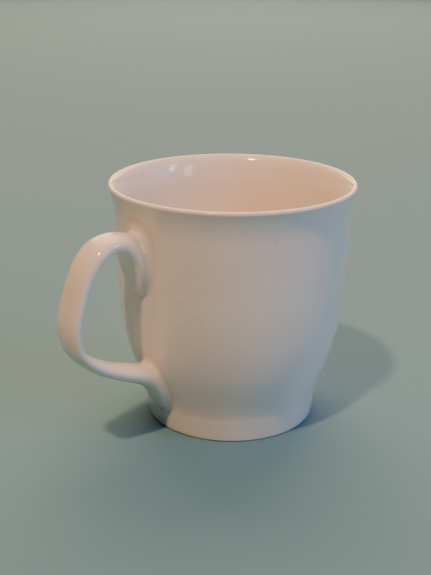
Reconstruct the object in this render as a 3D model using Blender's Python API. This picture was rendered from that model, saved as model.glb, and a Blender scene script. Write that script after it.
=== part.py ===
"""A china mug: a turned cup, a strap handle, and the two slip joints that hold the handle on.

The cup stands on z = 0 with its axis on +Z. The handle reaches out along -X.
Lengths are in metres; MM turns the millimetres of a drawing into metres.
"""
import math

import bmesh
import bpy
from mathutils import Vector
from mathutils.geometry import interpolate_bezier

MM = 0.001

# Cup: driving dimensions
HEIGHT = 85.7 * MM
RIM_RADIUS = 43.0 * MM
LIP_ROUNDING = 0.9 * MM
LIP_TURN = 125            # degrees of the lip's rounding, from its outside over to its inside
WALL = 3.2 * MM
FLOOR_HEIGHT = 4.8 * MM
FLOOR_DISH = 0.3 * MM
FOOT_RADIUS = 30.5 * MM
FOOT_ROUNDING = 0.9 * MM
FOOT_LAND = 2.2 * MM
RECESS_DEPTH = 0.75 * MM
RECESS_DRAFT = 0.8 * MM

# Radius and height of the outside wall's turning places
HIP = (36.2 * MM, 23.5 * MM)
BELLY = (40.6 * MM, 54.0 * MM)
NECK = (41.0 * MM, 74.0 * MM)
LIP_CENTRE = (RIM_RADIUS - LIP_ROUNDING, HEIGHT - LIP_ROUNDING)
LIP_INSIDE = (LIP_CENTRE[0] + LIP_ROUNDING * math.cos(math.radians(LIP_TURN)),
              LIP_CENTRE[1] + LIP_ROUNDING * math.sin(math.radians(LIP_TURN)))

# Cup walls, from the bottom up, as knots of a curve: radius, height, the curve's direction there
# in degrees above the horizontal, and how far it pulls on the curve before and after the knot
OUTSIDE_KNOTS = (
    (FOOT_RADIUS, FOOT_ROUNDING, 83, 0, 2.4 * MM),
    (31.3 * MM, 8.0 * MM, 84, 2.4 * MM, 4.0 * MM),
    (*HIP, 72, 5.2 * MM, 10.0 * MM),
    (*BELLY, 88, 11.0 * MM, 7.0 * MM),
    (*NECK, 90, 6.0 * MM, 4.6 * MM),
    (RIM_RADIUS, LIP_CENTRE[1], 68, 2.9 * MM, 0),
)
INSIDE_KNOTS = (
    (18.0 * MM, FLOOR_HEIGHT, 2, 0, 6.4 * MM),
    (29.2 * MM, 12.5 * MM, 71, 5.4 * MM, 3.6 * MM),
    (HIP[0] - WALL, HIP[1], 73, 4.2 * MM, 10.0 * MM),
    (BELLY[0] - WALL, BELLY[1], 88, 11.0 * MM, 7.0 * MM),
    (NECK[0] - WALL, NECK[1], 90, 6.0 * MM, 3.2 * MM),
    (*LIP_INSIDE, LIP_TURN - 90, 3.8 * MM, 0),
)
OUTSIDE_STEPS = (3, 5, 6, 3, 4)
INSIDE_STEPS = (4, 2, 5, 3, 5)

# Handle: matched points on its outer and inner edges, in the plane y = 0, as (reach from the
# cup's axis, height, half width). The first three and the last three flare down the wall.
HANDLE_OUTER = (
    (37.0, 74.3, 6.6), (41.6, 74.4, 6.6), (43.2, 74.6, 6.4), (45.2, 75.0, 6.1),
    (50.2, 75.7, 5.9), (57.1, 74.2, 6.0), (63.2, 68.0, 6.0), (67.9, 57.2, 6.0),
    (69.9, 45.8, 6.0), (67.4, 37.4, 6.0), (61.8, 31.4, 5.9), (53.3, 26.2, 5.7),
    (45.4, 22.5, 5.7), (40.8, 19.8, 5.8), (37.7, 16.6, 6.0), (35.3, 12.8, 6.2),
    (33.2, 9.2, 6.2), (29.0, 6.8, 6.0),
)
HANDLE_INNER = (
    (37.0, 53.0), (41.5, 53.6), (42.9, 55.4), (44.5, 61.4),
    (50.0, 69.2), (54.8, 68.3), (58.8, 64.8), (63.2, 55.8),
    (65.4, 45.6), (64.0, 39.8), (59.3, 35.4), (50.95, 30.7),
    (43.2, 28.1), (40.0, 27.2), (38.6, 27.2), (37.5, 27.4),
    (36.4, 27.8), (31.0, 29.0),
)
HANDLE_SQUARENESS = 2.2

# Slip joints: a thin layer of dried slip between the handle and the cup's wall
JOINT_GAP = 0.3 * MM
SLIP_THICKNESS = 0.6 * MM
JOINT_SPLIT_HEIGHT = 40.0 * MM
TRIM_OVERRUN = 5.0 * MM

# Resolution
ROUND_SIDES = 64
FOOT_STEPS = 3
LIP_STEPS = 4
HANDLE_SIDES = 20
HANDLE_STEPS = 3
SMOOTH_ANGLE = math.radians(35)
MERGE_DISTANCE = 0.001 * MM

CHINA = (0.85, 0.79, 0.72, 1.0)
CHINA_ROUGHNESS = 0.08
DRIED_SLIP = (0.83, 0.76, 0.68, 1.0)
SLIP_ROUGHNESS = 0.35


def clear_scene():
    for item in list(bpy.data.objects):
        bpy.data.objects.remove(item)


def knot_handle(knot, pull):
    """The control point that a knot sets, a signed distance along its direction."""
    radius, height, direction = knot[:3]
    angle = math.radians(direction)
    return Vector((radius + pull * math.cos(angle), height + pull * math.sin(angle)))


def curve_through(knots, steps):
    """A chain of cubic curves as (radius, height) points, from the first knot to the last."""
    points = [Vector(knots[0][:2])]
    for knot, next_knot, count in zip(knots, knots[1:], steps):
        corners = (
            Vector(knot[:2]),
            knot_handle(knot, knot[4]),
            knot_handle(next_knot, -next_knot[3]),
            Vector(next_knot[:2]),
        )
        points += interpolate_bezier(*corners, count + 1)[1:]
    return [Vector(point[:2]) for point in points]


def arc(centre, radius, start, end, steps):
    """The points between the ends of an arc, angles in degrees."""
    points = []
    for step in range(1, steps):
        angle = math.radians(start + (end - start) * step / steps)
        points.append(Vector(centre) + radius * Vector((math.cos(angle), math.sin(angle))))
    return points


def outside_wall():
    """The cup's outside, from the top of the foot's rounding to the lip."""
    return curve_through(OUTSIDE_KNOTS, OUTSIDE_STEPS)


def inside_wall():
    """The cup's inside, from the lip down to the middle of the floor."""
    points = curve_through(INSIDE_KNOTS, INSIDE_STEPS)
    points.reverse()
    points.append(Vector((0, FLOOR_HEIGHT - FLOOR_DISH)))
    return points


def underside():
    """The cup's underside, from the middle out to the foot's rounding."""
    land_outer = FOOT_RADIUS - FOOT_ROUNDING
    land_inner = land_outer - FOOT_LAND
    points = [Vector((0, RECESS_DEPTH))]
    points.append(Vector((land_inner - RECESS_DRAFT, RECESS_DEPTH)))
    points.append(Vector((land_inner, 0)))
    points.append(Vector((land_outer, 0)))
    points += arc((land_outer, FOOT_ROUNDING), FOOT_ROUNDING, -90, 0, FOOT_STEPS)
    return points


def offset_wall(distance):
    """The outside wall moved outwards, square to itself, by a distance."""
    wall = outside_wall()
    moved = []
    for index, point in enumerate(wall):
        before = wall[max(index - 1, 0)]
        after = wall[min(index + 1, len(wall) - 1)]
        along = (after - before).normalized()
        moved.append(point + distance * Vector((along.y, -along.x)))
    return moved


def add_object(name, mesh_data):
    """Turn a bmesh into a named object whose faces point outwards."""
    bmesh.ops.recalc_face_normals(mesh_data, faces=mesh_data.faces)
    mesh = bpy.data.meshes.new(name)
    mesh_data.to_mesh(mesh)
    mesh_data.free()
    item = bpy.data.objects.new(name, mesh)
    bpy.context.collection.objects.link(item)
    return item


def turned(name, outline):
    """Spin a closed (radius, height) outline about the Z axis."""
    mesh_data = bmesh.new()
    corners = [mesh_data.verts.new((point.x, 0, point.y)) for point in outline]
    edges = [mesh_data.edges.new(pair) for pair in zip(corners, corners[1:])]
    if outline[0].x > 0:
        edges.append(mesh_data.edges.new((corners[-1], corners[0])))
    bmesh.ops.spin(mesh_data, geom=corners + edges, cent=(0, 0, 0), axis=(0, 0, 1),
                   angle=math.tau, steps=ROUND_SIDES, use_merge=True)
    bmesh.ops.remove_doubles(mesh_data, verts=mesh_data.verts, dist=MERGE_DISTANCE)
    return add_object(name, mesh_data)


def smooth_through(points):
    """A smooth curve through a list of points, HANDLE_STEPS steps for each gap."""
    points = [Vector(point) for point in points]
    padded = [2 * points[0] - points[1]] + points + [2 * points[-1] - points[-2]]
    curve = [points[0]]
    for index in range(1, len(padded) - 2):
        before, start, end, after = padded[index - 1:index + 3]
        for step in range(1, HANDLE_STEPS + 1):
            t = step / HANDLE_STEPS
            linear = (end - before) * t
            square = (2 * before - 5 * start + 4 * end - after) * t * t
            cube = (3 * start - before - 3 * end + after) * t ** 3
            curve.append(start + 0.5 * (linear + square + cube))
    return curve


def rounded(value):
    """Cosine or sine of a section's corner, drawn out towards a slightly square oval."""
    return math.copysign(abs(value) ** (2 / HANDLE_SQUARENESS), value)


def handle_form(name):
    """The whole strap, from inside the wall at the top to inside the wall at the bottom."""
    outer_edge = smooth_through(HANDLE_OUTER)
    inner_edge = smooth_through([(reach, height, 0) for reach, height in HANDLE_INNER])
    mesh_data = bmesh.new()
    rings = []
    for outer, inner in zip(outer_edge, inner_edge):
        middle = (outer + inner) / 2
        arm = (outer - inner) / 2
        ring = []
        for side in range(HANDLE_SIDES):
            angle = math.tau * side / HANDLE_SIDES
            reach = middle.x + arm.x * rounded(math.cos(angle))
            height = middle.y + arm.y * rounded(math.cos(angle))
            across = outer.z * rounded(math.sin(angle))
            ring.append(mesh_data.verts.new((-reach * MM, across * MM, height * MM)))
        rings.append(ring)
    for ring, next_ring in zip(rings, rings[1:]):
        for side in range(HANDLE_SIDES):
            other = (side + 1) % HANDLE_SIDES
            mesh_data.faces.new((ring[side], ring[other], next_ring[other], next_ring[side]))
    mesh_data.faces.new(rings[0])
    mesh_data.faces.new(rings[-1])
    return add_object(name, mesh_data)


def hide_cutter(item):
    item.hide_render = True
    item.display_type = 'WIRE'


def add_boolean(item, operation, cutter):
    modifier = item.modifiers.new(operation.title(), 'BOOLEAN')
    modifier.operation = operation
    modifier.solver = 'EXACT'
    modifier.object = cutter
    hide_cutter(cutter)


def glaze(item, colour, roughness):
    """Give an object its own glazed material and smooth shading."""
    material = bpy.data.materials.new(item.name + "_glaze")
    material.use_nodes = True
    surface = material.node_tree.nodes["Principled BSDF"]
    surface.inputs["Base Color"].default_value = colour
    surface.inputs["Roughness"].default_value = roughness
    surface.inputs["Metallic"].default_value = 0.0
    material.diffuse_color = colour
    item.data.materials.append(material)
    item.data.shade_smooth()
    item.data.set_sharp_from_angle(angle=SMOOTH_ANGLE)


def make_cup():
    outline = underside() + outside_wall()
    outline += arc(LIP_CENTRE, LIP_ROUNDING, 0, LIP_TURN, LIP_STEPS)
    outline += inside_wall()
    cup = turned("cup_body", outline)
    glaze(cup, CHINA, CHINA_ROUGHNESS)
    return cup


def make_handle():
    """The strap, cut back to leave room for the slip between it and the wall."""
    clearance = 2 * JOINT_GAP + SLIP_THICKNESS
    wall = offset_wall(clearance)
    below = wall[0].y - TRIM_OVERRUN
    outline = [Vector((0, below)), Vector((wall[0].x, below))]
    outline += wall
    outline.append(Vector((0, wall[-1].y)))
    handle = handle_form("handle")
    add_boolean(handle, 'DIFFERENCE', turned("handle_trim", outline))
    glaze(handle, CHINA, CHINA_ROUGHNESS)
    return handle


def make_slip_joint(name, lowest, highest):
    """The slip where the strap meets the wall, between two heights."""
    near = offset_wall(JOINT_GAP)
    far = offset_wall(JOINT_GAP + SLIP_THICKNESS)
    rows = [row for row, point in enumerate(near) if lowest <= point.y <= highest]
    outline = [far[row] for row in rows] + [near[row] for row in reversed(rows)]
    joint = handle_form(name)
    add_boolean(joint, 'INTERSECT', turned(name + "_layer", outline))
    glaze(joint, DRIED_SLIP, SLIP_ROUGHNESS)
    return joint


def make_mug():
    clear_scene()
    mug = bpy.data.objects.new("mug", None)
    bpy.context.collection.objects.link(mug)
    pieces = [make_cup(), make_handle()]
    pieces.append(make_slip_joint("upper_slip_joint", JOINT_SPLIT_HEIGHT, HEIGHT))
    pieces.append(make_slip_joint("lower_slip_joint", 0, JOINT_SPLIT_HEIGHT))
    for piece in pieces:
        piece.parent = mug


make_mug()
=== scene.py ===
import math

import bpy
import numpy as np
from mathutils import Matrix, Vector
from mathutils.geometry import interpolate_bezier


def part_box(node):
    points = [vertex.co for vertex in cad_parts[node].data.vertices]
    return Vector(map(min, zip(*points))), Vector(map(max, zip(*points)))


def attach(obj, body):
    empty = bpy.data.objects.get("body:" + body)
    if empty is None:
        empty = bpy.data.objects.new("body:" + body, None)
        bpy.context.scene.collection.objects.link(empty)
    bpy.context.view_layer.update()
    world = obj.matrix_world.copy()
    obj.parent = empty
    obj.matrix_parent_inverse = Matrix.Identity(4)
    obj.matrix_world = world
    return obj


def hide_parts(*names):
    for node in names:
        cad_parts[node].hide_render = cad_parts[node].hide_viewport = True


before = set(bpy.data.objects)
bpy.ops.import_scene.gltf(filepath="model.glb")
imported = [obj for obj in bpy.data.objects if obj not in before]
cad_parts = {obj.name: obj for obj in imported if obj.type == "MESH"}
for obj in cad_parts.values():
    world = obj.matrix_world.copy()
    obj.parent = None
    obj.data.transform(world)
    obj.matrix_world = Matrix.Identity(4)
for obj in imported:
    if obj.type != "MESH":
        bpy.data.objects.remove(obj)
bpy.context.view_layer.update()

# ---------------------------------------------------------------- sizes, from the frame
CUP_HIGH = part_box("cup_body")[1]
RIM_RADIUS = CUP_HIGH.y
HEIGHT = CUP_HIGH.z
MM = RIM_RADIUS / 43.0   # one millimetre of the drawing, whose rim radius is 43

LIP_ROUNDING = 0.9 * MM
LIP_TURN = 125            # degrees of the lip's rounding, from its outside over to its inside
WALL = 3.2 * MM
FLOOR_HEIGHT = 4.8 * MM
FLOOR_DISH = 0.3 * MM
FOOT_RADIUS = 30.5 * MM
FOOT_ROUNDING = 0.9 * MM
FOOT_LAND = 2.2 * MM      # the width of the ring that stands on the table
RECESS_DEPTH = 0.75 * MM
RECESS_DRAFT = 0.8 * MM
HIP = (36.2 * MM, 23.5 * MM)
BELLY = (40.6 * MM, 54.0 * MM)
NECK = (41.0 * MM, 74.0 * MM)

# The cup's walls as knots of a curve, from the bottom up: radius, height, direction in degrees
# above the horizontal, and the pull on the curve before and after the knot
LIP_CENTRE = (RIM_RADIUS - LIP_ROUNDING, HEIGHT - LIP_ROUNDING)
LIP_INSIDE = (LIP_CENTRE[0] + LIP_ROUNDING * math.cos(math.radians(LIP_TURN)),
              LIP_CENTRE[1] + LIP_ROUNDING * math.sin(math.radians(LIP_TURN)))
OUTSIDE_KNOTS = (
    (FOOT_RADIUS, FOOT_ROUNDING, 83, 0, 2.4 * MM),
    (31.3 * MM, 8.0 * MM, 84, 2.4 * MM, 4.0 * MM),
    (*HIP, 72, 5.2 * MM, 10.0 * MM),
    (*BELLY, 88, 11.0 * MM, 7.0 * MM),
    (*NECK, 90, 6.0 * MM, 4.6 * MM),
    (RIM_RADIUS, LIP_CENTRE[1], 68, 2.9 * MM, 0),
)
INSIDE_KNOTS = (
    (18.0 * MM, FLOOR_HEIGHT, 2, 0, 6.4 * MM),
    (29.2 * MM, 12.5 * MM, 71, 5.4 * MM, 3.6 * MM),
    (HIP[0] - WALL, HIP[1], 73, 4.2 * MM, 10.0 * MM),
    (BELLY[0] - WALL, BELLY[1], 88, 11.0 * MM, 7.0 * MM),
    (NECK[0] - WALL, NECK[1], 90, 6.0 * MM, 3.2 * MM),
    (*LIP_INSIDE, LIP_TURN - 90, 3.8 * MM, 0),
)
CURVE_STEPS = 16
FOOT_STEPS = 6
LIP_STEPS = 12
CUP_SIDES = 288

# The strap's outer and inner edges in the plane y = 0, in the drawing's millimetres: reach from
# the cup's axis, height, and for the outer edge the strap's half width
HANDLE_OUTER = (
    (37.0, 74.3, 6.6), (41.6, 74.4, 6.6), (43.2, 74.6, 6.4), (45.2, 75.0, 6.1),
    (50.2, 75.7, 5.9), (57.1, 74.2, 6.0), (63.2, 68.0, 6.0), (67.9, 57.2, 6.0),
    (69.9, 45.8, 6.0), (67.4, 37.4, 6.0), (61.8, 31.4, 5.9), (53.3, 26.2, 5.7),
    (45.4, 22.5, 5.7), (40.8, 19.8, 5.8), (37.7, 16.6, 6.0), (35.3, 12.8, 6.2),
    (33.2, 9.2, 6.2), (29.0, 6.8, 6.0),
)
HANDLE_INNER = (
    (37.0, 53.0), (41.5, 53.6), (42.9, 55.4), (44.5, 61.4),
    (50.0, 69.2), (54.8, 68.3), (58.8, 64.8), (63.2, 55.8),
    (65.4, 45.6), (64.0, 39.8), (59.3, 35.4), (50.95, 30.7),
    (43.2, 28.1), (40.0, 27.2), (38.6, 27.2), (37.5, 27.4),
    (36.4, 27.8), (31.0, 29.0),
)
HANDLE_SQUARENESS = 2.2   # the power of the section's outline: 2 is an ellipse
HANDLE_SIDES = 72
HANDLE_RINGS = 240
HANDLE_ROOT = 1.5 * MM    # how far the strap's ends run into the cup's wall

# Slip fillets round the strap's two ends: reach on the strap's outer edge, sides and inner edge
UPPER_FILLET = (5.4 * MM, 2.5 * MM, 1.1 * MM)
LOWER_FILLET = (1.4 * MM, 1.6 * MM, 3.5 * MM)
FILLET_EASE = 1.35        # how gently a fillet meets the wall and the strap: 1 is a plain arc
FILLET_STEPS = 18
FILLET_SINK = 0.002 * MM  # how far a fillet's thin edge goes under the wall's surface
FILLET_ROOT = 0.5 * MM    # how far its hidden back goes into the wall and under the strap


# ---------------------------------------------------------------- mesh helpers
def add_piece(name, points, faces, sharp_degrees=35):
    """A closed, smooth-shaded piece from arrays of points and face corners."""
    mesh = bpy.data.meshes.new(name)
    mesh.from_pydata([tuple(point) for point in points], [], faces)
    mesh.validate()
    mesh.update()
    mesh.shade_smooth()
    mesh.set_sharp_from_angle(angle=math.radians(sharp_degrees))
    piece = bpy.data.objects.new(name, mesh)
    bpy.context.collection.objects.link(piece)
    return piece


def grid_faces(rows, columns, wrap_rows=False):
    """Quads joining a grid of points whose columns close on themselves."""
    faces = []
    for row in range(rows if wrap_rows else rows - 1):
        above = (row + 1) % rows
        for column in range(columns):
            beside = (column + 1) % columns
            faces.append((row * columns + column, row * columns + beside,
                          above * columns + beside, above * columns + column))
    return faces


def knot_handle(knot, pull):
    """The control point that a knot sets, a signed distance along its direction."""
    angle = math.radians(knot[2])
    return Vector((knot[0] + pull * math.cos(angle), knot[1] + pull * math.sin(angle)))


def curve_through(knots, steps):
    """A chain of cubic curves as (radius, height) points, from the first knot to the last."""
    points = [tuple(knots[0][:2])]
    for knot, after in zip(knots, knots[1:]):
        corners = (Vector(knot[:2]), knot_handle(knot, knot[4]),
                   knot_handle(after, -after[3]), Vector(after[:2]))
        points += [tuple(point[:2]) for point in interpolate_bezier(*corners, steps + 1)[1:]]
    return points


def arc(centre, radius, start, end, steps):
    """The points between the ends of an arc, angles in degrees."""
    angles = [math.radians(start + (end - start) * step / steps) for step in range(1, steps)]
    return [(centre[0] + radius * math.cos(angle), centre[1] + radius * math.sin(angle))
            for angle in angles]


# ---------------------------------------------------------------- the cup
OUTSIDE = curve_through(OUTSIDE_KNOTS, CURVE_STEPS)
INSIDE = curve_through(INSIDE_KNOTS, CURVE_STEPS)
WALL_RADII = np.array([point[0] for point in OUTSIDE])
WALL_HEIGHTS = np.array([point[1] for point in OUTSIDE])


def cup_outline():
    """The closed half section of the cup, from the middle of its underside round to its floor."""
    land_outer = FOOT_RADIUS - FOOT_ROUNDING
    land_inner = land_outer - FOOT_LAND
    outline = [(0.0, RECESS_DEPTH)]
    outline += [(share * (land_inner - RECESS_DRAFT), RECESS_DEPTH) for share in (0.3, 0.6, 0.9)]
    outline += [(land_inner - RECESS_DRAFT, RECESS_DEPTH), (land_inner, 0.0), (land_outer, 0.0)]
    outline += arc((land_outer, FOOT_ROUNDING), FOOT_ROUNDING, -90, 0, FOOT_STEPS)
    outline += OUTSIDE
    outline += arc(LIP_CENTRE, LIP_ROUNDING, 0, LIP_TURN, LIP_STEPS)
    outline += reversed(INSIDE)
    floor = (INSIDE_KNOTS[0][0], INSIDE_KNOTS[0][1])
    for share in (0.75, 0.5, 0.25):
        outline.append((share * floor[0], floor[1] - FLOOR_DISH * (1 - share ** 2)))
    outline.append((0.0, floor[1] - FLOOR_DISH))
    return outline


def make_cup():
    """Turn the outline about Z, with one point at each end of the axis."""
    outline = cup_outline()
    rings = np.array(outline[1:-1])
    angles = np.arange(CUP_SIDES) * math.tau / CUP_SIDES
    points = np.stack([np.outer(rings[:, 0], np.cos(angles)),
                       np.outer(rings[:, 0], np.sin(angles)),
                       np.outer(rings[:, 1], np.ones(CUP_SIDES))], axis=-1).reshape(-1, 3)
    faces = grid_faces(len(rings), CUP_SIDES)
    bottom = len(points)
    top = bottom + 1
    points = np.vstack([points, [(0, 0, outline[0][1]), (0, 0, outline[-1][1])]])
    last_ring = (len(rings) - 1) * CUP_SIDES
    for side in range(CUP_SIDES):
        beside = (side + 1) % CUP_SIDES
        faces.append((bottom, beside, side))
        faces.append((top, last_ring + side, last_ring + beside))
    return add_piece("cup", points, faces)


# ---------------------------------------------------------------- the strap
def natural_spline(knots, values, places):
    """A natural cubic spline through rows of values, read at places along the knots."""
    count = len(knots)
    gaps = np.diff(knots)
    matrix = np.eye(count)
    right = np.zeros_like(values)
    slopes = np.diff(values, axis=0) / gaps[:, None]
    for row in range(1, count - 1):
        matrix[row, row - 1:row + 2] = (gaps[row - 1], 2 * (gaps[row - 1] + gaps[row]), gaps[row])
        right[row] = 6 * (slopes[row] - slopes[row - 1])
    bends = np.linalg.solve(matrix, right)
    cell = np.clip(np.searchsorted(knots, places) - 1, 0, count - 2)
    gap = gaps[cell][:, None]
    ahead = (knots[cell + 1] - places)[:, None]
    behind = (places - knots[cell])[:, None]
    return (bends[cell] * ahead ** 3 + bends[cell + 1] * behind ** 3) / (6 * gap) \
        + (values[cell] / gap - bends[cell] * gap / 6) * ahead \
        + (values[cell + 1] / gap - bends[cell + 1] * gap / 6) * behind


def strap_surface(rings, sides):
    """The strap's surface as an array of points, ring by ring from its top end."""
    outer = np.array(HANDLE_OUTER) * MM
    inner = np.array(HANDLE_INNER) * MM
    rails = np.hstack([outer, inner])
    middle = (outer[:, :2] + inner) / 2
    knots = np.concatenate([[0], np.cumsum(np.linalg.norm(np.diff(middle, axis=0), axis=1))])
    rail = natural_spline(knots, rails, np.linspace(0, knots[-1], rings))
    angles = np.arange(sides) * math.tau / sides
    cosine = np.sign(np.cos(angles)) * np.abs(np.cos(angles)) ** (2 / HANDLE_SQUARENESS)
    sine = np.sign(np.sin(angles)) * np.abs(np.sin(angles)) ** (2 / HANDLE_SQUARENESS)
    centre = (rail[:, 0:2] + rail[:, 3:5]) / 2
    arm = (rail[:, 0:2] - rail[:, 3:5]) / 2
    reach = centre[:, 0:1] + arm[:, 0:1] * cosine
    height = centre[:, 1:2] + arm[:, 1:2] * cosine
    across = rail[:, 2:3] * sine
    return np.stack([-reach, across, height], axis=-1)


def trim_to_wall(surface, rings):
    """The same surface in fewer rings, with both ends cut off inside the cup's wall."""
    distances = wall_distance(surface)[0]
    places = np.arange(len(surface))
    trimmed = np.empty((rings, surface.shape[1], 3))
    for side in range(surface.shape[1]):
        depth = distances[:, side] + HANDLE_ROOT
        kept = np.nonzero(depth > 0)[0]
        first, last = kept[0], kept[-1]
        start = first - depth[first] / (depth[first] - depth[first - 1])
        end = last + depth[last] / (depth[last] - depth[last + 1])
        for axis in range(3):
            trimmed[:, side, axis] = np.interp(np.linspace(start, end, rings), places,
                                               surface[:, side, axis])
    return trimmed


def make_strap():
    """The strap as one closed piece, with a fan of triangles over each end inside the wall."""
    surface = trim_to_wall(strap_surface(4 * HANDLE_RINGS, HANDLE_SIDES), HANDLE_RINGS)
    faces = grid_faces(HANDLE_RINGS, HANDLE_SIDES)
    top = HANDLE_RINGS * HANDLE_SIDES
    bottom = top + 1
    last_ring = top - HANDLE_SIDES
    for side in range(HANDLE_SIDES):
        beside = (side + 1) % HANDLE_SIDES
        faces.append((top, beside, side))
        faces.append((bottom, last_ring + side, last_ring + beside))
    points = np.vstack([surface.reshape(-1, 3), surface[0].mean(axis=0),
                        surface[-1].mean(axis=0)])
    return add_piece("strap_handle", points, faces)


# ---------------------------------------------------------------- the slip fillets
def wall_distance(points):
    """How far points stand off the cup's outside wall, and the wall's outward direction there."""
    radius = np.hypot(points[..., 0], points[..., 1])
    height = points[..., 2]
    slope = np.gradient(WALL_RADII, WALL_HEIGHTS)
    lean = np.interp(height, WALL_HEIGHTS, slope)
    squareness = 1 / np.sqrt(1 + lean ** 2)
    distance = (radius - np.interp(height, WALL_HEIGHTS, WALL_RADII)) * squareness
    outward = np.stack([points[..., 0] / radius * squareness,
                        points[..., 1] / radius * squareness,
                        -lean * squareness], axis=-1)
    return distance, outward


def at_distance(line, distances, wanted):
    """Points along one of the strap's lines, which runs to the wall, at wanted distances off it."""
    order = np.argsort(distances)
    return np.stack([np.interp(wanted, distances[order], line[order, axis]) for axis in range(3)],
                    axis=-1)


def make_fillet(name, surface, reaches):
    """A concave ring of slip round one end of the strap. The surface runs from the wall outwards."""
    sides = surface.shape[1]
    distances = wall_distance(surface)[0]
    angles = np.arange(sides) * math.tau / sides
    outer_share = np.clip(np.cos(angles), 0, 1) ** 2
    inner_share = np.clip(-np.cos(angles), 0, 1) ** 2
    reach = outer_share * reaches[0] + inner_share * reaches[2] \
        + (1 - outer_share - inner_share) * reaches[1]
    reach = reach[:, None]

    footprint = np.stack([at_distance(surface[:, side], distances[:, side], np.zeros(1))[0]
                          for side in range(sides)])
    outward = wall_distance(footprint)[1]
    along = np.roll(footprint, -1, axis=0) - np.roll(footprint, 1, axis=0)
    away = np.cross(along, outward)
    away /= np.linalg.norm(away, axis=1)[:, None]
    points_in = np.sum(away * (footprint - footprint.mean(axis=0))) < 0
    if points_in:
        away = -away

    turn = np.linspace(0, math.pi / 2, FILLET_STEPS)
    rows = []
    for angle in turn:
        height = reach * (1 - math.sin(angle)) ** FILLET_EASE
        spread = reach * (1 - math.cos(angle)) ** FILLET_EASE
        stand = np.stack([at_distance(surface[:, side], distances[:, side], height[side])[0]
                          for side in range(sides)])
        ring = stand + spread * away
        error, normal = wall_distance(ring)
        sink = FILLET_SINK * angle / turn[-1]
        rows.append(ring + normal * (height[:, 0] - sink - error)[:, None])
    rows.append(footprint - FILLET_ROOT * (outward + away))
    if not points_in:
        rows.reverse()
    return add_piece(name, np.concatenate(rows), grid_faces(len(rows), sides, wrap_rows=True))


# ---------------------------------------------------------------- the glaze
GLAZE_COLOUR = (0.87, 0.80, 0.73)
POOLED_COLOUR = (0.83, 0.76, 0.68)
SPECK_COLOUR = (0.30, 0.24, 0.19)
# Painted highlight: the near-white colour that the beads and the scratch are lightened towards, in
# place of their glints
BEAD_HIGHLIGHT_COLOUR = (0.95, 0.91, 0.86)
BARE_CLAY_COLOUR = (0.80, 0.75, 0.68)
CLOUD_SHADE = 0.955       # the darkest clouds in the glaze, as a share of its own colour
GRAIN_SHARE = 0.25        # how strongly the grain shows beside the clouds
SPECK_SHARE = 0.6         # how far a speck hides the glaze's colour, and then how far a bead's painted highlight does
BEAD_HIGHLIGHT_SHARE = 0.9
GLAZE_ROUGHNESS = 0.07
ROUGHNESS_SPREAD = 0.05   # how much rougher the glaze is in places
BARE_CLAY_ROUGHNESS = 0.62
BARE_CLAY_TOP = (0.15, 0.55)    # heights between which the glaze starts, in millimetres
GLAZE_IOR = 1.52
SCATTER_SHARE = 0.12      # how translucent the body is, and how deep each colour goes
SCATTER_COLOURS = (1.0, 0.75, 0.55)
SCATTER_DEPTH = 1.5 * MM

# Noises: scale per millimetre of the drawing, and detail
CLOUD_NOISE = (0.035, 3.0)
GRAIN_NOISE = (0.9, 4.0)
TURNING_NOISE = (1.0, 3.0)
PEEL_NOISE = (0.55, 2.0)
ROUGHNESS_NOISE = (0.12, 4.0)
GRIT_NOISE = (2.5, 4.0)
TURNING_STRETCH = (0.012, 0.012, 0.30)
# The parts of a noise's values that are spread over its whole effect
CLOUD_RANGE = (0.35, 0.65)
GRAIN_RANGE = (0.3, 0.7)
ROUGHNESS_RANGE = (0.35, 0.7)

# Relief on the surface, in the drawing's millimetres
TURNING_RELIEF = 0.055
PEEL_RELIEF = 0.012
BEAD_RELIEF = 0.14
GRIT_RELIEF = 0.06

# Pin-head specks: cells per millimetre, the share of cells that hold one, and the distances from
# a cell's point between which it fades, in cells
CELL_SCALE = 0.10
CELL_CHANCE = 0.16
CELL_EDGE = (0.010, 0.022)

# Raised beads, each with a painted highlight, and dark specks in the glaze, outside and inside:
# angle about the cup in degrees, height, half width and half height on the wall, in the drawing's
# millimetres
BEADS_AND_GLINTS = ((-153.5, 55.4, 0.40, 0.75), (-152.6, 51.7, 0.38, 0.85), (-155.3, 46.9, 0.45, 0.50),
         (-146.3, 49.8, 0.45, 0.35), (-12.0, 39.0, 0.35, 0.55), (28.0, 61.0, 0.30, 0.40))
INSIDE_BEADS_AND_GLINTS = ((80.0, 74.4, 0.40, 0.60), (113.6, 78.9, 0.45, 0.50))
SPECKS = ((-111.1, 75.9, 0.30, 0.26), (-104.1, 62.7, 0.26, 0.26), (-116.7, 48.6, 0.22, 0.20),
          (-125.6, 79.1, 0.28, 0.20), (58.0, 33.0, 0.24, 0.24),
          (-40.0, 66.0, 0.22, 0.26), (5.0, 20.0, 0.24, 0.20))
# A raised scratch, lightened with the same painted highlight as the beads
SCRATCH = ((-145.6, 49.5), (-142.7, 46.0))
SCRATCH_WIDTH = 0.22
MARK_EDGE = (0.35, 1.25)   # where a mark starts to fade and where it ends, in its half sizes


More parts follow.
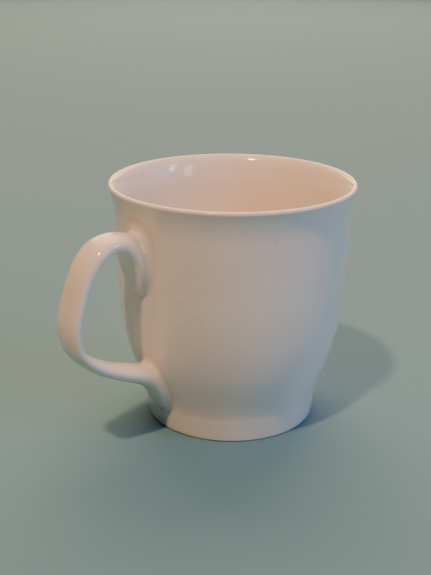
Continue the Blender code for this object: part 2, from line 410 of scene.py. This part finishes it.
class NodeGraph:
    """A material's nodes, added with their settings and inputs in one call each."""

    def __init__(self, tree):
        self.tree = tree

    def add(self, kind, settings=(), **inputs):
        node = self.tree.nodes.new("ShaderNode" + kind)
        for name, value in dict(settings).items():
            setattr(node, name, value)
        for name, value in inputs.items():
            self.feed(node.inputs[self.socket(node, name)], value)
        return node

    @staticmethod
    def socket(node, name):
        """An input's place: a name with spaces for underscores, or its number after an i."""
        if name[0] == "i" and name[1:].isdigit():
            return int(name[1:])
        return name.replace("_", " ")

    def feed(self, socket, value):
        if isinstance(value, bpy.types.NodeSocket):
            self.tree.links.new(value, socket)
        else:
            socket.default_value = value

    def maths(self, operation, first, second=0.0, third=0.0):
        node = self.add("Math", {"operation": operation}, i0=first, i1=second, i2=third)
        return node.outputs[0]

    def blend(self, share, first, second):
        """Two colours mixed by a share."""
        node = self.add("Mix", {"data_type": "RGBA"}, i0=share, i6=first, i7=second)
        return node.outputs[2]

    def ramp(self, value, low, high, to_low, to_high):
        """A value carried smoothly from one range to another, held at its ends."""
        node = self.add("MapRange", {"interpolation_type": "SMOOTHSTEP"}, i0=value, i1=low,
                        i2=high, i3=to_low, i4=to_high)
        return node.outputs[0]

    def noise(self, place, scale, detail=2.0):
        node = self.add("TexNoise", Vector=place, Scale=scale, Detail=detail)
        return node.outputs[0]


def wall_place(angle, height, wall=OUTSIDE):
    """A point on one of the cup's walls, in the drawing's millimetres."""
    radii, heights = zip(*wall)
    radius = np.interp(height * MM, heights, radii) / MM
    turn = math.radians(angle)
    return (radius * math.cos(turn), radius * math.sin(turn), height)


def spots(graph, place, marks, wall=OUTSIDE):
    """How far inside any of the marks a place is, from 0 at their edges to 1 at their middles."""
    total = 0.0
    for angle, height, half_width, half_height in marks:
        middle = wall_place(angle, height, wall)
        offset = graph.add("VectorMath", {"operation": "SUBTRACT"}, i0=place, i1=middle)
        scale = (1 / half_width, 1 / half_width, 1 / half_height)
        scaled = graph.add("VectorMath", {"operation": "MULTIPLY"}, i0=offset.outputs[0],
                           i1=scale)
        length = graph.add("VectorMath", {"operation": "LENGTH"}, i0=scaled.outputs[0])
        inside = graph.ramp(length.outputs[1], *MARK_EDGE, 1.0, 0.0)
        total = graph.maths("MAXIMUM", inside, total)
    return total


def scratch(graph, place, ends):
    """A thin line from one place on the wall to another, 1 along its middle."""
    start, end = (Vector(wall_place(*end)) for end in ends)
    along = (end - start).normalized()
    offset = graph.add("VectorMath", {"operation": "SUBTRACT"}, i0=place, i1=start)
    reach = graph.add("VectorMath", {"operation": "DOT_PRODUCT"}, i0=offset.outputs[0], i1=along)
    inside = graph.add("Clamp", i0=reach.outputs[1], i1=0.0, i2=(end - start).length)
    nearest = graph.add("VectorMath", {"operation": "SCALE"}, i0=along, i3=inside.outputs[0])
    gap = graph.add("VectorMath", {"operation": "DISTANCE"}, i0=offset.outputs[0],
                    i1=nearest.outputs[0])
    return graph.ramp(gap.outputs[1], 0.0, SCRATCH_WIDTH, 1.0, 0.0)


def fine_specks(graph, place):
    """Rare pin-head specks scattered through the glaze."""
    cells = graph.add("TexVoronoi", Vector=place, Scale=CELL_SCALE, Randomness=1.0)
    chosen = graph.add("SeparateColor", i0=cells.outputs["Color"])
    rare = graph.maths("LESS_THAN", chosen.outputs[0], CELL_CHANCE)
    dot = graph.ramp(cells.outputs["Distance"], *CELL_EDGE, 1.0, 0.0)
    return graph.maths("MULTIPLY", rare, dot)


def glaze(name, colour, marks=False):
    """Glossy ivory bone china: a clear glaze over a slightly translucent body."""
    material = bpy.data.materials.new(name)
    material.use_nodes = True
    graph = NodeGraph(material.node_tree)
    surface = material.node_tree.nodes["Principled BSDF"]
    where = graph.add("TexCoord").outputs["Object"]
    place = graph.add("VectorMath", {"operation": "SCALE"}, i0=where, i3=1 / MM).outputs[0]

    clouds = graph.ramp(graph.noise(place, *CLOUD_NOISE), *CLOUD_RANGE, 0.0, 1.0)
    grain = graph.ramp(graph.noise(place, *GRAIN_NOISE), *GRAIN_RANGE, -0.5, 0.5)
    shade = graph.maths("MULTIPLY_ADD", grain, GRAIN_SHARE, clouds)
    shaded = tuple(channel * CLOUD_SHADE for channel in colour)
    tint = graph.blend(shade, (*shaded, 1), (*colour, 1))
    dark = fine_specks(graph, place)
    if marks:
        dark = graph.maths("MAXIMUM", dark, spots(graph, place, SPECKS))
    tint = graph.blend(graph.maths("MULTIPLY", dark, SPECK_SHARE), tint, (*SPECK_COLOUR, 1))

    stretched = graph.add("VectorMath", {"operation": "MULTIPLY"}, i0=place,
                          i1=TURNING_STRETCH).outputs[0]
    turning = graph.maths("MULTIPLY", graph.noise(stretched, *TURNING_NOISE), TURNING_RELIEF)
    peel = graph.maths("MULTIPLY", graph.noise(place, *PEEL_NOISE), PEEL_RELIEF)
    relief = graph.maths("ADD", turning, peel)
    roughness = graph.ramp(graph.noise(place, *ROUGHNESS_NOISE), *ROUGHNESS_RANGE,
                           GLAZE_ROUGHNESS, GLAZE_ROUGHNESS + ROUGHNESS_SPREAD)
    if marks:
        # Beads and the scratch: real raised relief, plus a painted highlight that lightens the
        # glaze's colour over them
        beads_and_glints = graph.maths("MAXIMUM", spots(graph, place, BEADS_AND_GLINTS),
                            spots(graph, place, INSIDE_BEADS_AND_GLINTS, INSIDE))
        beads_and_glints = graph.maths("MAXIMUM", beads_and_glints, scratch(graph, place, SCRATCH))
        relief = graph.maths("MULTIPLY_ADD", beads_and_glints, BEAD_RELIEF, relief)
        tint = graph.blend(graph.maths("MULTIPLY", beads_and_glints, BEAD_HIGHLIGHT_SHARE), tint, (*BEAD_HIGHLIGHT_COLOUR, 1))
        height = graph.add("SeparateXYZ", i0=place).outputs[2]
        bare = graph.ramp(height, *BARE_CLAY_TOP, 1.0, 0.0)
        grit = graph.maths("MULTIPLY", bare, graph.noise(place, *GRIT_NOISE))
        relief = graph.maths("MULTIPLY_ADD", grit, GRIT_RELIEF, relief)
        tint = graph.blend(bare, tint, (*BARE_CLAY_COLOUR, 1))
        roughness = graph.maths("MULTIPLY_ADD", bare, BARE_CLAY_ROUGHNESS - GLAZE_ROUGHNESS,
                                roughness)
    bump = graph.add("Bump", Height=relief, Distance=MM, Strength=1.0)

    graph.feed(surface.inputs["Base Color"], tint)
    graph.feed(surface.inputs["Roughness"], roughness)
    graph.feed(surface.inputs["Normal"], bump.outputs[0])
    surface.inputs["IOR"].default_value = GLAZE_IOR
    surface.inputs["Subsurface Weight"].default_value = SCATTER_SHARE
    surface.inputs["Subsurface Radius"].default_value = SCATTER_COLOURS
    surface.inputs["Subsurface Scale"].default_value = SCATTER_DEPTH
    return material


# ---------------------------------------------------------------- the pieces
cup = make_cup()
strap = make_strap()
whole = strap_surface(4 * HANDLE_RINGS, 2 * HANDLE_SIDES)
END_RINGS = len(whole) // 4
upper = make_fillet("upper_slip_fillet", whole[:END_RINGS], UPPER_FILLET)
lower = make_fillet("lower_slip_fillet", whole[:-END_RINGS:-1], LOWER_FILLET)

cup_glaze = glaze("cup_glaze", GLAZE_COLOUR, marks=True)
handle_glaze = glaze("handle_glaze", GLAZE_COLOUR)
slip_glaze = glaze("slip_glaze", POOLED_COLOUR)
for piece, node, slot, finish in ((cup, "cup_body", "cup_glaze", cup_glaze),
                                  (strap, "handle", "handle_glaze", handle_glaze),
                                  (upper, "upper_slip_joint", "slip", slip_glaze),
                                  (lower, "lower_slip_joint", "slip", slip_glaze)):
    piece.data.materials.append(finish)
    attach(piece, "root")
    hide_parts(node)


# ---------------------------------------------------------------- floor, light and camera
FLOOR_RADIUS = 4.0
COVE_RADIUS = 1.2
COVE_HEIGHT = 4.5
COVE_STEPS = 16
FLOOR_SIDES = 96
FLOOR_COLOUR = (0.12, 0.27, 0.36)
FLOOR_ROUGHNESS = 0.9
FLOOR_SPECULAR = 0.2


def make_floor():
    """A round plain floor that curves up into a plain wall behind the lamps."""
    profile = [(FLOOR_RADIUS, 0.0)]
    profile += arc((FLOOR_RADIUS, COVE_RADIUS), COVE_RADIUS, -90, 0, COVE_STEPS)
    profile += [(FLOOR_RADIUS + COVE_RADIUS, COVE_RADIUS),
                (FLOOR_RADIUS + COVE_RADIUS, COVE_HEIGHT)]
    angles = [math.tau * side / FLOOR_SIDES for side in range(FLOOR_SIDES)]
    points = [(radius * math.cos(angle), radius * math.sin(angle), height)
              for radius, height in profile for angle in angles]
    faces = grid_faces(len(profile), FLOOR_SIDES) + [tuple(range(FLOOR_SIDES))]
    floor = add_piece("floor", points, faces)
    material = bpy.data.materials.new("pale_floor")
    material.use_nodes = True
    surface = material.node_tree.nodes["Principled BSDF"]
    surface.inputs["Base Color"].default_value = (*FLOOR_COLOUR, 1)
    surface.inputs["Roughness"].default_value = FLOOR_ROUGHNESS
    surface.inputs["Specular IOR Level"].default_value = FLOOR_SPECULAR
    floor.data.materials.append(material)


CAMERA_AZIMUTH = math.radians(-41)
CAMERA_DISTANCE = 7.473 * RIM_RADIUS
CAMERA_HEIGHT = 3.798 * RIM_RADIUS
CAMERA_PITCH = math.radians(20.07)
CAMERA_YAW = math.radians(-1.01)
CAMERA_ROLL = math.radians(0.37)
LENS = 59.48
NEAREST_SEEN = 0.01


def from_camera_side(azimuth, elevation, distance):
    """A place round the mug: azimuth from the camera's side, positive to the right."""
    angle = CAMERA_AZIMUTH + math.radians(azimuth)
    rise = math.radians(elevation)
    centre = Vector((0, 0, HEIGHT / 2))
    return centre + distance * Vector((math.sin(angle) * math.cos(rise),
                                       -math.cos(angle) * math.cos(rise), math.sin(rise)))


def make_camera():
    """The camera, turned round the mug's axis after it is aimed and rolled."""
    turn = Matrix.Rotation(CAMERA_AZIMUTH, 3, 'Z')
    forward = Vector((math.sin(CAMERA_YAW) * math.cos(CAMERA_PITCH),
                      math.cos(CAMERA_YAW) * math.cos(CAMERA_PITCH), -math.sin(CAMERA_PITCH)))
    right = Vector((math.cos(CAMERA_YAW), -math.sin(CAMERA_YAW), 0))
    up = right.cross(forward)
    rolled_right = math.cos(CAMERA_ROLL) * right + math.sin(CAMERA_ROLL) * up
    rolled_up = math.cos(CAMERA_ROLL) * up - math.sin(CAMERA_ROLL) * right
    axes = Matrix((rolled_right, rolled_up, -forward)).transposed()
    data = bpy.data.cameras.new("camera")
    data.lens = LENS
    data.clip_start = NEAREST_SEEN
    camera = bpy.data.objects.new("camera", data)
    place = turn @ Vector((0, -CAMERA_DISTANCE, CAMERA_HEIGHT))
    camera.matrix_world = Matrix.Translation(place) @ (turn @ axes).to_4x4()
    bpy.context.collection.objects.link(camera)
    bpy.context.scene.camera = camera


def add_lamp(name, shape, azimuth, elevation, width, height, power, colour):
    """A flat lamp that faces the middle of the mug."""
    data = bpy.data.lights.new(name, 'AREA')
    data.shape = shape
    data.size = width
    data.size_y = height
    data.energy = power
    data.color = colour
    lamp = bpy.data.objects.new(name, data)
    lamp.location = from_camera_side(azimuth, elevation, LAMP_DISTANCE)
    aim = Vector((0, 0, HEIGHT / 2)) - lamp.location
    lamp.rotation_euler = aim.to_track_quat('-Z', 'Y').to_euler()
    bpy.context.collection.objects.link(lamp)


def make_world():
    """A faint cool light from all round."""
    world = bpy.data.worlds.new("studio")
    world.use_nodes = True
    background = world.node_tree.nodes["Background"]
    background.inputs["Color"].default_value = WORLD_COLOUR
    background.inputs["Strength"].default_value = WORLD_STRENGTH
    bpy.context.scene.world = world


# Lamps: shape, azimuth from the camera's side and elevation in degrees, width, height, watts
# and colour
LAMP_DISTANCE = 2.5
LAMPS = {
    "key_lamp": ('ELLIPSE', -28, 60, 0.15, 0.15, 50, (1.0, 0.56, 0.29)),
    "top_panel": ('ELLIPSE', 0, 88, 2.6, 2.6, 24, (1.0, 0.60, 0.34)),
    "back_panel": ('ELLIPSE', 180, 40, 3.2, 3.2, 128, (1.0, 0.56, 0.32)),
    "window_panel": ('RECTANGLE', 50, 20, 0.4, 1.2, 9, (0.58, 0.75, 1.0)),
    "window_gap": ('RECTANGLE', 71, 27, 0.30, 0.8, 9, (0.70, 0.85, 1.0)),
    "cool_panel": ('ELLIPSE', 82, 15, 1.2, 1.2, 11, (0.0, 0.22, 1.0)),
}
WORLD_COLOUR = (0.60, 0.80, 1.0, 1)
WORLD_STRENGTH = 0.04

make_floor()
make_camera()
make_world()
for lamp, settings in LAMPS.items():
    add_lamp(lamp, *settings)
